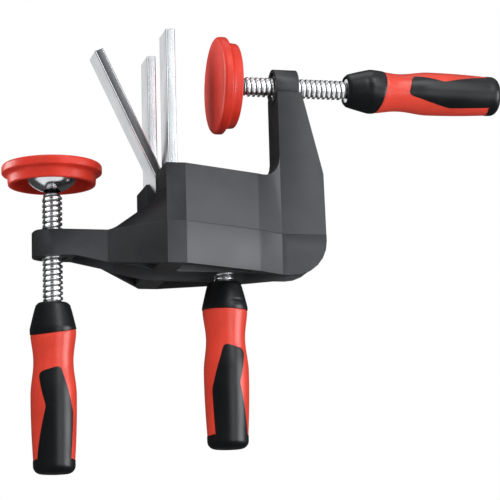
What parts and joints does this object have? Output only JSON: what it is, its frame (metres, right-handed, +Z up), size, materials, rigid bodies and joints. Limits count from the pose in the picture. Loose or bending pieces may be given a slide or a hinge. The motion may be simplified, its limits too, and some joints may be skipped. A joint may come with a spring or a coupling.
{
  "type": "door frame clamp",
  "caption": "Clamp for setting door linings: moulded body, swivel-pad screws left and right, fixed jaw bars and a spreading lever moved by a lower screw.",
  "frame": {"origin": "where the right screw's axis meets the plane of the two fixed jaw bars' faces", "axes": "+X from the jaw faces toward the right handle, +Y across the clamp away from the picture's viewer, +Z up along the jaw bars"},
  "size_m": [0.3448, 0.1014, 0.2928],
  "materials": {
    "body_plastic": "moulded, fine grain",
    "handle_red": "smooth moulded",
    "grip_black": "soft touch moulding",
    "pad_red": "satin moulded",
    "zinc_plate": "zinc plated",
    "bright_steel": "rolled and polished",
    "nylon": "natural nylon"
  },
  "bodies": {
    "frame": {"body_frame": "body_plastic", "left_nut": "bright_steel", "middle_nut": "bright_steel", "right_nut": "bright_steel", "fixed_bar_near": "zinc_plate", "fixed_bar_far": "zinc_plate", "bar_pin_near": "bright_steel", "bar_pin_far": "bright_steel", "lever_pivot_pin": "bright_steel", "pivot_clip": "bright_steel", "pivot_spacer_near": "nylon", "pivot_spacer_far": "nylon"},
    "left_carriage": {"left_ball_seat": "nylon"},
    "left_screw": {"left_spindle": "bright_steel", "left_handle_nose": "grip_black", "left_handle_core": "handle_red", "left_handle_grip": "grip_black", "left_spindle_collar": "zinc_plate"},
    "left_pad": {"left_pad_cap": "pad_red", "left_swivel_plate": "zinc_plate"},
    "right_carriage": {"right_ball_seat": "nylon"},
    "right_screw": {"right_spindle": "bright_steel", "right_handle_nose": "grip_black", "right_handle_core": "handle_red", "right_handle_grip": "grip_black", "right_spindle_collar": "zinc_plate"},
    "right_pad": {"right_pad_cap": "pad_red", "right_swivel_plate": "zinc_plate"},
    "middle_carriage": {"thrust_cap": "bright_steel"},
    "middle_screw": {"middle_spindle": "bright_steel", "middle_handle_nose": "grip_black", "middle_handle_core": "handle_red", "middle_handle_grip": "grip_black", "middle_spindle_collar": "zinc_plate"},
    "spreading_lever": {"lever_crank": "bright_steel", "lever_bar": "zinc_plate", "lever_screw_1": "zinc_plate", "lever_screw_2": "zinc_plate"}
  },
  "joints": [
    {"name": "left_travel", "type": "slide", "parent": "frame", "child": "left_carriage", "axis": [0, 0, 1], "range_m": [-0.024, 0.028]},
    {"name": "left_turn", "type": "hinge", "parent": "left_carriage", "child": "left_screw", "pos_m": [-0.075, 0, -0.15], "axis": [0, 0, 1], "range_deg": [-2470, 2882]},
    {"name": "right_travel", "type": "slide", "parent": "frame", "child": "right_carriage", "axis": [-1, 0, 0], "range_m": [-0.02, 0.028]},
    {"name": "right_turn", "type": "hinge", "parent": "right_carriage", "child": "right_screw", "pos_m": [0.127, 0, 0], "axis": [-1, 0, 0], "range_deg": [-2059, 2882]},
    {"name": "middle_travel", "type": "slide", "parent": "frame", "child": "middle_carriage", "axis": [0, 0, 1], "range_m": [-0.0082, 0.003]},
    {"name": "middle_turn", "type": "hinge", "parent": "middle_carriage", "child": "middle_screw", "pos_m": [0.039, 0, -0.1346], "axis": [0, 0, 1], "range_deg": [-845, 310]},
    {"name": "left_pad_swivel", "type": "hinge", "parent": "left_carriage", "child": "left_pad", "pos_m": [-0.075, 0, -0.0696], "axis": [0, 1, 0], "range_deg": [-10, 10]},
    {"name": "right_pad_swivel", "type": "hinge", "parent": "right_carriage", "child": "right_pad", "pos_m": [0.0466, 0, 0], "axis": [0, 1, 0], "range_deg": [-10, 10]},
    {"name": "lever_swing", "type": "hinge", "parent": "frame", "child": "spreading_lever", "pos_m": [0.011, 0, -0.08], "axis": [0, 1, 0], "range_deg": [-6.25, 17.05]}
  ],
  "couplings": [
    {"joint": "left_turn", "follows": "left_travel", "rad_per_m": 1795.2},
    {"joint": "right_turn", "follows": "right_travel", "rad_per_m": 1795.2},
    {"joint": "middle_turn", "follows": "middle_travel", "rad_per_m": 1795.2},
    {"joint": "lever_swing", "follows": "middle_travel", "rad_per_m": -36.2}
  ]
}
